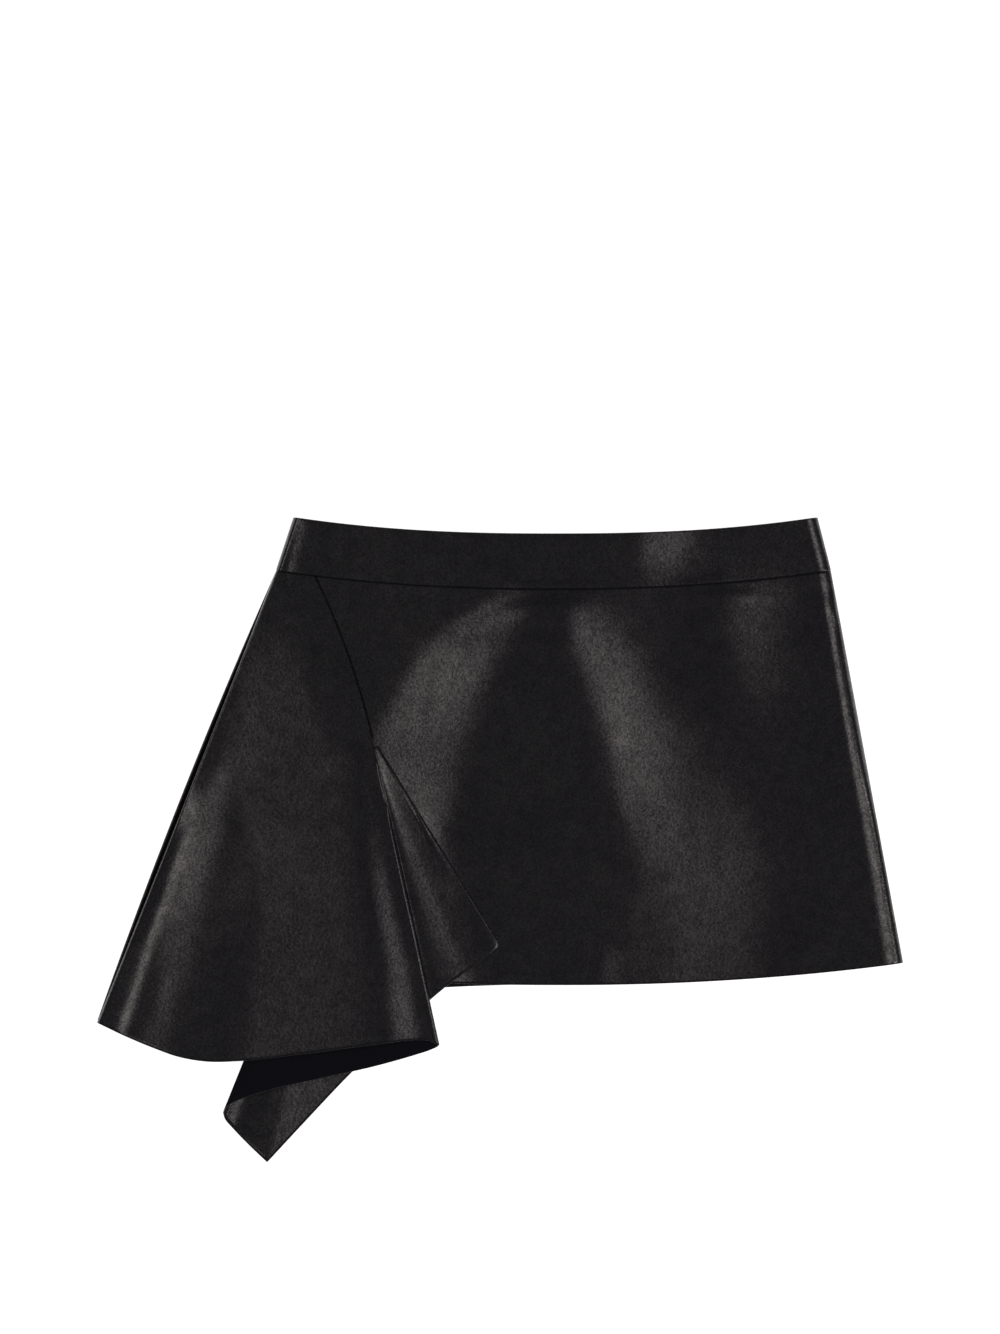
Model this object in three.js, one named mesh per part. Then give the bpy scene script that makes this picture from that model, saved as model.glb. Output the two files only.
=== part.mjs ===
// A leather mini skirt laid flat on its back, with a draped flounce at one hip.
// Millimetres, +Z up. The back lies on Z = 0, +Y runs to the waist and +X to the plain side.
// The origin is under the middle of the whole outline.
import * as THREE from 'three';

// Thickness of each wall of leather, and the gap that two pieces keep at a seam.
const LEATHER = 1.2;
const FLOUNCE_LEATHER = 1.0;
const BAND_WALL = 2.4;
const SEAM_GAP = 0.3;

// The three curved edges across the skirt. Each is lowest in its middle and rises to its two ends.
const WAIST_EDGE = { middleX: 40.3, halfWidth: 190.8, y: 222.7, rise: 12.0, bow: 2.4 };
const BAND_SEAM = { middleX: 38.9, halfWidth: 201.7, y: 182.5, rise: 13.4, bow: 2.2 };
const FRONT_HEM = { middleX: 43.6, halfWidth: 249.5, y: -104.8, rise: 15.8, bow: 2.2 };
const SKIRT_DROP = BAND_SEAM.y - FRONT_HEM.y;

// The seam that joins the flounce to the front starts at the waistband and straightens as it drops.
const FLOUNCE_SEAM = { startX: -134.5, reach: 81.2, settle: 162.0 };

// The free corner of the flounce at the left, and the point that its folds fan out from.
const FLOUNCE_CORNER = { x: -292.5, y: -132.7 };
const PIVOT = { x: -92.3, y: 72.7 };

// Heights of the middle of each wall above the table.
const FRONT_Z = 9.6;
const SIDE_SEAM_Z = 4.1;
const BACK_Z = LEATHER / 2;
const BACK_BAND_Z = BAND_WALL / 2;
const BACK_CURL = 4.5;
const SEAM_DIP_Z = 5.0;
const SEAM_DIP_WIDTH = 75.0;
const SEAM_DIP_END = 0.3;

// How far in from the outline the sides start to roll over, at the top and at the hem.
const BAND_ROLL = 8.0;
const SIDE_ROLL = { top: 9.0, hem: 14.0 };
const HIP_ROLL = { top: 9.0, hem: 20.0 };

// Swells in the front: across each, the ground is steepest at left and at right, and it is
// height higher in the middle. drop runs from 0 at the waistband to 1 at the hem.
const FRONT_SWELL = [
  { drop: 0.0, left: 29.0, right: 41.0, height: 0.6 },
  { drop: 0.25, left: -21.8, right: 72.7, height: 5.0 },
  { drop: 0.45, left: -58.0, right: 91.0, height: 7.4 },
  { drop: 0.7, left: -36.0, right: 108.0, height: 7.0 },
  { drop: 1.0, left: -24.0, right: 120.0, height: 4.5 },
];
const SIDE_SWELL = [
  { drop: 0.0, left: 196.0, right: 236.0, height: 0.0 },
  { drop: 0.25, left: 190.0, right: 244.0, height: 3.2 },
  { drop: 0.5, left: 196.0, right: 262.0, height: 3.4 },
  { drop: 1.0, left: 200.0, right: 280.0, height: 2.0 },
];

// Crown heights of the flounce's top layer along its hem, by share of the way from its left edge.
const TOP_LAYER_HEM = [
  { share: 0.0, z: 8.0 },
  { share: 0.12, z: 8.8 },
  { share: 0.17, z: 8.8 },
  { share: 0.36, z: 18.0 },
  { share: 0.46, z: 17.4 },
  { share: 0.7, z: 20.0 },
  { share: 0.88, z: 23.5 },
  { share: 1.0, z: 24.0 },
];

// The hem of the flounce's top layer in plan, from its left corner to the fold at its right.
const TOP_LAYER_EDGE = [
  { x: FLOUNCE_CORNER.x, y: FLOUNCE_CORNER.y },
  { x: -253.0, y: -149.8 },
  { x: -232.6, y: -157.0 },
  { x: -212.3, y: -160.3 },
  { x: -189.0, y: -159.9 },
  { x: -147.6, y: -155.3 },
  { x: -84.3, y: -146.9 },
  { x: -64.7, y: -144.7 },
  { x: -52.3, y: -145.0 },
  { x: -44.3, y: -148.3 },
];
const RIGHT_FOLD = { x: -44.3, y: -148.3, z: 15.4, rootZ: 12.0 };

// The rest of the flounce's hem, from the right fold on. z is the height at the hem, and rootZ
// the height of the same line of leather where the folds run together at the pivot.
// The wrong side of the leather shows on the way to the left fold, and its right side after it.
const UNDER_LAYER_HEM = [
  RIGHT_FOLD,
  { x: -45.8, y: -149.6, z: 13.4, rootZ: 11.0 },
  { x: -50.5, y: -151.8, z: 12.3, rootZ: 10.4 },
  { x: -59.6, y: -154.9, z: 11.9, rootZ: 10.0 },
  { x: -90.1, y: -163.6, z: 11.7, rootZ: 9.9 },
  { x: -131.9, y: -173.0, z: 11.5, rootZ: 9.9 },
  { x: -163.6, y: -180.0, z: 11.4, rootZ: 9.9 },
  { x: -186.0, y: -187.0, z: 10.8, rootZ: 9.9 },
  { x: -195.5, y: -191.4, z: 9.8, rootZ: 9.8 },
  { x: -199.6, y: -195.0, z: 8.2, rootZ: 9.5 },
];
const LEFT_FOLD = { x: -200.9, y: -198.4, z: 6.0, rootZ: 9.1 };
const CORNER_LAYER_HEM = [
  LEFT_FOLD,
  { x: -199.6, y: -203.0, z: 3.8, rootZ: 8.6 },
  { x: -194.0, y: -209.8, z: 1.9, rootZ: 8.4 },
  { x: -181.8, y: -222.5, z: 0.9, rootZ: 8.4 },
  { x: -169.4, y: -234.3, z: 0.5, rootZ: 8.4 },
];
const LOBE_HEM = [
  { x: -169.4, y: -234.3, z: 0.5, rootZ: 8.4 },
  { x: -141.0, y: -203.6, z: 1.2, rootZ: 8.4 },
  { x: -108.3, y: -169.0, z: 3.6, rootZ: 8.4 },
  { x: -76.3, y: -138.1, z: 7.6, rootZ: 8.4 },
  { x: -50.5, y: -115.3, z: 9.9, rootZ: 8.3 },
  { x: -40.0, y: -106.4, z: 13.4, rootZ: 8.6 },
  { x: -29.4, y: -98.1, z: 18.6, rootZ: 9.2 },
  { x: -17.0, y: -89.4, z: 22.4, rootZ: 9.8 },
  { x: -8.5, y: -83.4, z: 22.6, rootZ: 9.8 },
  { x: -3.2, y: -78.6, z: 21.0, rootZ: 9.3 },
  { x: -1.5, y: -74.9, z: 18.6, rootZ: 8.4 },
];
// Under the lobe the leather comes back to the seam, and onFront is how far it lies on the front.
const RETURN_HEM = [
  { x: -2.4, y: -73.2, z: 16.0, rootZ: 7.0, onFront: 0.7 },
  { x: -9.0, y: -77.0, z: 16.0, rootZ: 7.0, onFront: 1 },
  { x: -32.7, y: -88.7, z: 16.0, rootZ: 7.0, onFront: 1 },
  { x: -66.2, y: -98.1, z: 16.0, rootZ: 7.0, onFront: 1 },
];
const ON_FRONT = LEATHER / 2 + FLOUNCE_LEATHER / 2 + 3 * SEAM_GAP;

// The layers under the top one start a little below the pivot: the lobe first, which shows,
// then the hidden layer over it.
const LOBE_START = 0.12;
const UNDER_LAYER_START = 0.3;

// Numbers of steps in each mesh.
const ROLL_STEPS = 5;
const BAND_ROWS = 4;
const BAND_COLUMNS = 26;
const FRONT_FOOT_ROWS = 8;
const FRONT_COLUMNS = 18;
const BACK_ROWS = 6;
const BACK_COLUMNS = 12;
const TOP_LAYER_COLUMNS = 13;
const SEAM_ROWS = 7;
const FAN_ROWS = 14;
const HEM_STEP = 2;

const QUARTER_TURN = Math.PI / 2;
const mix = (a, b, share) => a + (b - a) * share;
const clamp01 = (value) => Math.min(1, Math.max(0, value));
const smooth = (value) => clamp01(value) ** 2 * (3 - 2 * clamp01(value));

function edgeY(edge, x) {
  return edge.y + edge.rise * Math.abs((x - edge.middleX) / edge.halfWidth) ** edge.bow;
}

// A value read from a table whose rows hold it at rising places, eased between the rows.
function tableValue(rows, place, at, column) {
  const last = rows.length - 1;
  if (at <= rows[0][place]) return rows[0][column];
  if (at >= rows[last][place]) return rows[last][column];
  const next = rows.findIndex((row) => row[place] > at);
  const [low, high] = [rows[next - 1], rows[next]];
  return mix(low[column], high[column], smooth((at - low[place]) / (high[place] - low[place])));
}

// Where the flounce's seam is at a height y of the plan.
function seamX(y) {
  const start = edgeY(BAND_SEAM, FLOUNCE_SEAM.startX);
  return FLOUNCE_SEAM.startX + FLOUNCE_SEAM.reach * (1 - Math.exp((y - start) / FLOUNCE_SEAM.settle));
}

function swell(rows, drop, x) {
  const left = tableValue(rows, 'drop', drop, 'left');
  const right = tableValue(rows, 'drop', drop, 'right');
  const away = (x - (left + right) / 2) / ((right - left) / 2);
  return tableValue(rows, 'drop', drop, 'height') * Math.exp(-away * away / 2);
}

// Height of the front panel's wall, which dips towards the flounce's seam.
function frontZ(x, y) {
  const drop = clamp01((BAND_SEAM.y - y) / SKIRT_DROP);
  const open = FRONT_Z + swell(FRONT_SWELL, drop, x) + swell(SIDE_SWELL, drop, x);
  const atSeam = mix(FRONT_Z, SEAM_DIP_Z, smooth(drop / SEAM_DIP_END));
  return mix(atSeam, open, smooth((x - seamX(y)) / SEAM_DIP_WIDTH));
}

// Share of its full height that a rolled edge has reached, a share of the roll's width in.
const rolled = (inwards) => Math.sqrt(1 - (1 - clamp01(inwards)) ** 2);

// Places from 0 to width, close together where either end rolls over.
function rolledPlaces(width, startRoll, endRoll, middleSteps) {
  const places = [];
  for (let i = 0; i < ROLL_STEPS; i++) {
    places.push(startRoll * (1 - Math.cos(QUARTER_TURN * i / ROLL_STEPS)));
  }
  for (let i = 0; i <= middleSteps; i++) {
    places.push(mix(startRoll, width - endRoll, i / middleSteps));
  }
  for (let i = ROLL_STEPS - 1; i >= 0; i--) {
    places.push(width - endRoll * (1 - Math.cos(QUARTER_TURN * i / ROLL_STEPS)));
  }
  return places;
}

// How a wall ends where another piece lies beside it or under it.
const UPRIGHT = 'upright';
const LEVEL = 'level';

// Turns a grid of points into a closed wall of leather, half its thickness to each side.
// A grid may have holes: a null point is left out. edgeOf tells how the wall ends at a point.
function wall(grid, thickness, edgeOf = () => null) {
  const points = [];
  const index = grid.map((row, r) => row.map((point, c) => {
    if (!point) return -1;
    points.push({ point, normal: new THREE.Vector3(), edge: edgeOf(r, c) });
    return points.length - 1;
  }));
  const faces = [];
  const face = (...corners) => {
    const [a, b, c] = corners.map((i) => points[i].point);
    const normal = b.clone().sub(a).cross(c.clone().sub(a));
    corners.forEach((i) => points[i].normal.add(normal));
    faces.push(corners);
  };
  for (let r = 0; r + 1 < grid.length; r++) {
    for (let c = 0; c + 1 < grid[r].length; c++) {
      const [a, b, d, e] = [index[r][c], index[r][c + 1], index[r + 1][c + 1], index[r + 1][c]];
      if (Math.min(a, b, d, e) < 0) continue;
      const across = points[a].point.distanceTo(points[d].point);
      const back = points[b].point.distanceTo(points[e].point);
      if (across < back) {
        face(a, e, d);
        face(a, d, b);
      } else {
        face(a, e, b);
        face(e, d, b);
      }
    }
  }
  const used = new Set(faces.flat());
  const place = new Map([...used].map((i, n) => [i, n]));
  const positions = [];
  for (const side of [1, -1]) {
    for (const i of used) {
      const { point, normal, edge } = points[i];
      if (edge === UPRIGHT) normal.set(0, 0, Math.sign(normal.z));
      if (edge === LEVEL) normal.setZ(0);
      normal.normalize();
      positions.push(...point.clone().addScaledVector(normal, side * thickness / 2).toArray());
    }
  }
  const count = used.size;
  const triangles = [];
  const open = new Map();
  for (const [a, b, c] of faces.map((corners) => corners.map((i) => place.get(i)))) {
    triangles.push(a, b, c, a + count, c + count, b + count);
    for (const [from, to] of [[a, b], [b, c], [c, a]]) {
      if (!open.delete(`${to},${from}`)) open.set(`${from},${to}`, [from, to]);
    }
  }
  for (const [from, to] of open.values()) {
    triangles.push(from, from + count, to, to, from + count, to + count);
  }
  const geometry = new THREE.BufferGeometry();
  geometry.setAttribute('position', new THREE.Float32BufferAttribute(positions, 3));
  geometry.setIndex(triangles);
  geometry.computeVertexNormals();
  return geometry;
}

// A grid between an upper and a lower edge. Each row is a function from row share to points.
function gridOf(rows, rowPoints) {
  return Array.from({ length: rows + 1 }, (unused, r) => rowPoints(r / rows));
}

// The two straight sides of the skirt, as the x of the outline at a height y.
const plainSideX = (y) => mix(
  BAND_SEAM.middleX + BAND_SEAM.halfWidth,
  FRONT_HEM.middleX + FRONT_HEM.halfWidth,
  (edgeY(BAND_SEAM, 240) - y) / (edgeY(BAND_SEAM, 240) - edgeY(FRONT_HEM, 293)),
);
const hipSideX = (y) => mix(
  BAND_SEAM.middleX - BAND_SEAM.halfWidth,
  FLOUNCE_CORNER.x,
  (edgeY(BAND_SEAM, -162) - y) / (edgeY(BAND_SEAM, -162) - FLOUNCE_CORNER.y),
);

// The waistband between its two edges, from x share 0 at the flounce's side to 1.
function bandPoint(across, down) {
  const edgePoint = (edge, gap) => {
    const x = edge.middleX + (edge.halfWidth - BAND_WALL / 2) * (2 * across - 1);
    return { x, y: edgeY(edge, x) + gap };
  };
  const top = edgePoint(WAIST_EDGE, 0);
  const foot = edgePoint(BAND_SEAM, SEAM_GAP / 2);
  return { x: mix(top.x, foot.x, down), y: mix(top.y, foot.y, down) };
}

function waistbandFront() {
  const width = 2 * WAIST_EDGE.halfWidth;
  const grid = gridOf(BAND_ROWS, (down) => rolledPlaces(width, BAND_ROLL, BAND_ROLL, BAND_COLUMNS)
    .map((place) => {
      const { x, y } = bandPoint(place / width, down);
      const inwards = Math.min(place, width - place) / BAND_ROLL;
      return new THREE.Vector3(x, y, mix(SIDE_SEAM_Z, FRONT_Z, rolled(inwards)));
    }));
  const last = grid[0].length - 1;
  return wall(grid, BAND_WALL, (r, c) => {
    if (c === 0 || c === last) return LEVEL;
    return r === BAND_ROWS && c > 1 && c < last - 1 ? UPRIGHT : null;
  });
}

function waistbandBack() {
  const width = 2 * WAIST_EDGE.halfWidth;
  const end = SIDE_SEAM_Z - SEAM_GAP;
  const grid = gridOf(2, (down) => rolledPlaces(width, BACK_CURL, BACK_CURL, BACK_COLUMNS)
    .map((place) => {
      const { x, y } = bandPoint(place / width, down);
      const inwards = Math.min(place, width - place) / BACK_CURL;
      return new THREE.Vector3(x, y, mix(end, BACK_BAND_Z, rolled(inwards)));
    }));
  const last = grid[0].length - 1;
  return wall(grid, BAND_WALL, (r, c) => (c === 0 || c === last ? LEVEL : null));
}

// The front's rows meet the flounce's along their seam, as far down as the pivot.
const SEAM_TOP_Y = edgeY(BAND_SEAM, FLOUNCE_SEAM.startX) - SEAM_GAP / 2;
const SEAM_FOOT_Y = edgeY(FRONT_HEM, -66.7);
const seamRowY = (r) => mix(SEAM_TOP_Y, PIVOT.y, r / SEAM_ROWS);

// Share of the way down the front that a point lies at, from its upper edge to its hem.
function frontDown(x, y) {
  const top = edgeY(BAND_SEAM, x) - SEAM_GAP / 2;
  return (top - y) / (top - edgeY(FRONT_HEM, x));
}

function frontPanel() {
  const seamYs = Array.from({ length: SEAM_ROWS }, (unused, r) => seamRowY(r));
  for (let r = 0; r <= FRONT_FOOT_ROWS; r++) {
    seamYs.push(mix(PIVOT.y, SEAM_FOOT_Y, r / FRONT_FOOT_ROWS));
  }
  const grid = seamYs.map((startY) => {
    const down = frontDown(seamX(startY), startY);
    const startX = seamX(startY) + SEAM_GAP / 2;
    const endY = mix(edgeY(BAND_SEAM, 240), edgeY(FRONT_HEM, 293), down);
    const endX = plainSideX(endY) - LEATHER / 2;
    const roll = mix(SIDE_ROLL.top, SIDE_ROLL.hem, down);
    const width = endX - startX;
    return rolledPlaces(width, 0, roll, FRONT_COLUMNS).slice(ROLL_STEPS).map((place) => {
      const x = startX + place;
      const y = mix(edgeY(BAND_SEAM, x) - SEAM_GAP / 2, edgeY(FRONT_HEM, x), down);
      const inwards = (width - place) / roll;
      return new THREE.Vector3(x, y, mix(SIDE_SEAM_Z, frontZ(x, y), rolled(inwards)));
    });
  });
  const last = grid[0].length - 1;
  return wall(grid, LEATHER, (r, c) => {
    if (c === last) return LEVEL;
    return c === 0 || (r === 0 && c < last - 1) ? UPRIGHT : null;
  });
}

// The hem of the back, straight from the flounce's corner and then as the front's.
function backHemY(x) {
  const away = clamp01((x - FLOUNCE_CORNER.x) / (FRONT_HEM.middleX - FLOUNCE_CORNER.x));
  const straight = mix(FLOUNCE_CORNER.y + 2, FRONT_HEM.y, smooth(away * 0.5 + 0.5) * 2 - 1);
  return x < FRONT_HEM.middleX ? straight : edgeY(FRONT_HEM, x);
}

function backPanel() {
  const end = SIDE_SEAM_Z - SEAM_GAP;
  const grid = gridOf(BACK_ROWS, (down) => {
    const hipX = hipSideX(mix(edgeY(BAND_SEAM, -162), FLOUNCE_CORNER.y, down)) + LEATHER / 2;
    const plainX = plainSideX(mix(edgeY(BAND_SEAM, 240), edgeY(FRONT_HEM, 293), down)) - LEATHER / 2;
    const width = plainX - hipX;
    return rolledPlaces(width, BACK_CURL, BACK_CURL, BACK_COLUMNS).map((place) => {
      const x = hipX + place;
      const y = mix(edgeY(BAND_SEAM, x) - SEAM_GAP / 2, backHemY(x), down);
      const inwards = Math.min(place, width - place) / BACK_CURL;
      return new THREE.Vector3(x, y, mix(end, BACK_Z, rolled(inwards)));
    });
  });
  const last = grid[0].length - 1;
  return wall(grid, LEATHER, (r, c) => (c === 0 || c === last ? LEVEL : null));
}

// The flounce. Its right boundary follows the seam down to the pivot and then the right fold.
const curveOf = (rows) => new THREE.CatmullRomCurve3(
  rows.map(({ x, y }) => new THREE.Vector3(x, y, 0)), false, 'centripetal');
const TOP_EDGE_CURVE = curveOf(TOP_LAYER_EDGE);
const SEAM_SHARE = 0.358;

function rightBoundary(down) {
  if (down >= SEAM_SHARE) {
    const out = (down - SEAM_SHARE) / (1 - SEAM_SHARE);
    return { x: mix(PIVOT.x, RIGHT_FOLD.x, out), y: mix(PIVOT.y, RIGHT_FOLD.y, out) };
  }
  const y = mix(SEAM_TOP_Y, PIVOT.y, down / SEAM_SHARE);
  return { x: seamX(y) - SEAM_GAP / 2, y };
}

// A point of the flounce's top layer in plan: a patch between its four boundaries.
function topLayerPlan(across, down) {
  const top = (share) => {
    const x = mix(BAND_SEAM.middleX - BAND_SEAM.halfWidth + FLOUNCE_LEATHER / 2, rightBoundary(0).x, share);
    return { x, y: edgeY(BAND_SEAM, x) - SEAM_GAP / 2 };
  };
  const left = (share) => {
    const y = mix(top(0).y, FLOUNCE_CORNER.y, share);
    return { x: mix(top(0).x, FLOUNCE_CORNER.x, share), y };
  };
  const hem = TOP_EDGE_CURVE.getPointAt(across);
  const [l, r, t] = [left(down), rightBoundary(down), top(across)];
  const corner = (axis) => mix(
    mix(top(0)[axis], top(1)[axis], across),
    mix(FLOUNCE_CORNER[axis], RIGHT_FOLD[axis], across), down);
  const patch = (axis) => mix(l[axis], r[axis], across) + mix(t[axis], hem[axis], down) - corner(axis);
  return { x: patch('x'), y: patch('y') };
}

// One row of the top layer, from the rolled left edge to the seam or the right fold.
function topLayerRow(down) {
  const [l, r] = [topLayerPlan(0, down), topLayerPlan(1, down)];
  const width = Math.hypot(r.x - l.x, r.y - l.y);
  const out = clamp01((down - SEAM_SHARE) / (1 - SEAM_SHARE));
  const lifted = smooth((down - SEAM_SHARE + 0.1) / 0.1);
  const hipRoll = mix(HIP_ROLL.top, HIP_ROLL.hem, down);
  const foldRoll = mix(mix(9, 13, down / SEAM_SHARE), mix(10, 32, out), lifted);
  const seamZ = mix(frontZ(seamX(r.y), r.y), mix(RIGHT_FOLD.rootZ, RIGHT_FOLD.z, out), lifted);
  return rolledPlaces(width, hipRoll, foldRoll, TOP_LAYER_COLUMNS).map((place) => {
    const across = place / width;
    const { x, y } = topLayerPlan(across, down);
    const crown = mix(FRONT_Z, tableValue(TOP_LAYER_HEM, 'share', across, 'z'), down ** 1.2);
    const leftPart = mix(SIDE_SEAM_Z, crown, rolled(place / hipRoll));
    const in01 = clamp01((width - place) / foldRoll);
    const rightShare = mix(Math.sin(QUARTER_TURN * in01), rolled(in01), lifted);
    return new THREE.Vector3(x, y, mix(seamZ, leftPart, rightShare));
  });
}

// The hem of the hidden and the lower layers as steps along smooth curves.
function hemSteps(rows) {
  const points = rows.map(({ x, y }) => new THREE.Vector3(x, y, 0));
  const curve = new THREE.CatmullRomCurve3(points, false, 'centripetal');
  const [z, rootZ, onFront] = ['z', 'rootZ', 'onFront'].map((column) => new THREE.CatmullRomCurve3(
    rows.map((row, i) => new THREE.Vector3(i, row[column] ?? 0, 0)), false, 'centripetal'));
  const count = (rows.length - 1) * HEM_STEP;
  return Array.from({ length: count + 1 }, (unused, i) => ({
    plan: curve.getPoint(i / count),
    z: z.getPoint(i / count).y,
    rootZ: rootZ.getPoint(i / count).y,
    onFront: clamp01(onFront.getPoint(i / count).y),
  }));
}

const UNDER_STEPS = hemSteps([...UNDER_LAYER_HEM, LEFT_FOLD]).slice(1);
const LOWER_STEPS = [
  ...hemSteps(CORNER_LAYER_HEM).slice(1),
  ...hemSteps(LOBE_HEM).slice(1),
  ...hemSteps([LOBE_HEM[LOBE_HEM.length - 1], ...RETURN_HEM]).slice(1),
];

// One row of the layers under the top one, out from the pivot.
function fanRow(out) {
  const at = ({ plan, z, rootZ, onFront }) => {
    const x = mix(PIVOT.x, plan.x, out);
    const y = mix(PIVOT.y, plan.y, out);
    return new THREE.Vector3(x, y, mix(mix(rootZ, z, out), frontZ(x, y) + ON_FRONT, onFront));
  };
  const under = UNDER_STEPS.map((step) => (out < UNDER_LAYER_START ? null : at(step)));
  const lower = LOWER_STEPS.map((step) => (out < LOBE_START ? null : at(step)));
  return [...under, ...lower];
}

function flounce() {
  const seamShares = Array.from({ length: SEAM_ROWS }, (unused, r) => SEAM_SHARE * r / SEAM_ROWS);
  const outShares = [0, LOBE_START, 0.2, UNDER_LAYER_START];
  for (let r = 1; r <= FAN_ROWS - 3; r++) {
    outShares.push(mix(UNDER_LAYER_START, 1, r / (FAN_ROWS - 3)));
  }
  const grid = [
    ...seamShares.map((down) => [...topLayerRow(down), ...fanRow(-1)]),
    ...outShares.map((out) => [...topLayerRow(mix(SEAM_SHARE, 1, out)), ...fanRow(out)]),
  ];
  const seamColumn = topLayerRow(0).length - 1;
  return wall(grid, FLOUNCE_LEATHER, (r, c) => {
    if (c === 0) return LEVEL;
    return (r === 0 && c > 1) || (c === seamColumn && r < SEAM_ROWS - 1) ? UPRIGHT : null;
  });
}

const leather = new THREE.MeshStandardMaterial({ color: 0x1f1d1d, roughness: 0.42, metalness: 0 });
const bandLeather = new THREE.MeshStandardMaterial({ color: 0x1d1b1c, roughness: 0.42, metalness: 0 });

const skirt = new THREE.Group();
function addPiece(name, geometry, material) {
  const mesh = new THREE.Mesh(geometry, material);
  mesh.name = name;
  skirt.add(mesh);
}

addPiece('waistband_front', waistbandFront(), bandLeather);
addPiece('waistband_back', waistbandBack(), bandLeather);
addPiece('front_panel', frontPanel(), leather);
addPiece('back_panel', backPanel(), leather);
addPiece('flounce', flounce(), leather);

export default skirt;
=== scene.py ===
"""A black leather mini skirt laid flat on its back, with a flounce that folds over at one hip.

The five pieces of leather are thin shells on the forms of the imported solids. Sizes are in
millimetres in the row's frame, and become metres where a mesh is made.
"""

import logging
import math
from dataclasses import dataclass
from enum import Enum
from typing import Any, Iterable, Sequence

import bpy
import numpy as np
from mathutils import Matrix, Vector

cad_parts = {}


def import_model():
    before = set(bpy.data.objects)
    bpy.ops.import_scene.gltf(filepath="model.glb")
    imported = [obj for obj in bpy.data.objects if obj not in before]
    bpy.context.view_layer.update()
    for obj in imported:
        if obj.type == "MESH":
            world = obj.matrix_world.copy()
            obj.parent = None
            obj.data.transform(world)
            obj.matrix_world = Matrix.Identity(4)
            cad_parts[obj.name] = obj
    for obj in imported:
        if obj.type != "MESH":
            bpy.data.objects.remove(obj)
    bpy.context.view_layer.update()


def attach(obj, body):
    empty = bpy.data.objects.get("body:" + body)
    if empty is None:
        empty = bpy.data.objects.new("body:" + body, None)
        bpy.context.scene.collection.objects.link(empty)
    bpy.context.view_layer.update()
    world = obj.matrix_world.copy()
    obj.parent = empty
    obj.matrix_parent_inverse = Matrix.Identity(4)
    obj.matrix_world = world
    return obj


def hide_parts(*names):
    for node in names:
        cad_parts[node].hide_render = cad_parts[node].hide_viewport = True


logging.basicConfig(level=logging.INFO, format="%(message)s")
LOG = logging.getLogger("skirt")

MM = 0.001
Grid = np.ndarray


def mix(a: Any, b: Any, share: Any) -> Any:
    """Go from a to b by a share.

    Args:
        a: The value at share 0.
        b: The value at share 1.
        share: How far to go.

    Returns:
        The value in between.
    """
    return a + (b - a) * share


def smooth(value: Any) -> Any:
    """Ease a share from 0 to 1, level at both ends.

    Args:
        value: The share, held between 0 and 1.

    Returns:
        The eased share.
    """
    held = np.clip(value, 0.0, 1.0)
    return held * held * (3.0 - 2.0 * held)


def rolled(inwards: Any) -> Any:
    """Give the share of its height that a rolled edge has reached.

    Args:
        inwards: How far in from the edge, as a share of the roll's width.

    Returns:
        The share of the full height, on a quarter of an ellipse.
    """
    return np.sqrt(np.clip(1.0 - (1.0 - np.clip(inwards, 0.0, 1.0)) ** 2, 0.0, 1.0))


def spline(places: Sequence[float], values: Sequence[Any], at: Any) -> Any:
    """Read a smooth curve through a few values.

    Args:
        places: Rising places along the curve.
        values: The value at each place, numbers or points.
        at: Where to read it.

    Returns:
        The values of a cubic through the points, held past the two ends.
    """
    x = np.asarray(places, float)
    y = np.asarray(values, float)
    t = np.clip(np.asarray(at, float), x[0], x[-1])
    i = np.clip(np.searchsorted(x, t, side="right") - 1, 0, len(x) - 2)
    step = np.diff(x)
    rise = np.diff(y, axis=0) / (step if y.ndim == 1 else step[:, None])
    slope = np.empty_like(y)
    slope[0], slope[-1] = rise[0], rise[-1]
    before, after = step[:-1], step[1:]
    if y.ndim > 1:
        before, after = before[:, None], after[:, None]
    slope[1:-1] = (rise[:-1] * after + rise[1:] * before) / (before + after)
    width = step[i]
    u = (t - x[i]) / width
    if y.ndim > 1:
        u, width = u[..., None], width[..., None]
    return ((1 + 2 * u) * (1 - u) ** 2 * y[i] + u * (1 - u) ** 2 * width * slope[i]
            + u * u * (3 - 2 * u) * y[i + 1] + u * u * (u - 1) * width * slope[i + 1])


def rolled_places(width: float, start_roll: float, end_roll: float, steps: int) -> np.ndarray:
    """Space points across a piece, close together where its ends roll over.

    Args:
        width: The whole width.
        start_roll: Width of the roll at the start.
        end_roll: Width of the roll at the end.
        steps: Steps in the level middle.

    Returns:
        Rising places from 0 to width.
    """
    turn = np.linspace(0.0, math.pi / 2, ROLL_STEPS, endpoint=False)
    start = start_roll * (1 - np.cos(turn)) if start_roll else np.empty(0)
    end = width - (end_roll * (1 - np.cos(turn)))[::-1] if end_roll else np.empty(0)
    middle = np.linspace(start_roll, width - end_roll, steps + 1)
    return np.concatenate([start, middle, end])


ROLL_STEPS = 14
SEAM_GAP = 0.3
SEAM_STEPS = np.array([0.0, 0.2, 0.45, 0.75, 1.1, 1.6, 2.3, 3.2])


@dataclass(frozen=True)
class Edge:
    """A curved edge across the skirt, lowest in its middle.

    Attributes:
        middle_x: Where it is lowest.
        half_width: Half of its length across.
        y: Its lowest height in plan.
        rise: How much higher its two ends are.
        bow: How late it rises, as a power.
    """

    middle_x: float
    half_width: float
    y: float
    rise: float
    bow: float

    def at(self, x: Any) -> Any:
        """Give the edge's y at an x."""
        away = np.abs((np.asarray(x, float) - self.middle_x) / self.half_width)
        return self.y + self.rise * away ** self.bow


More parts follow.
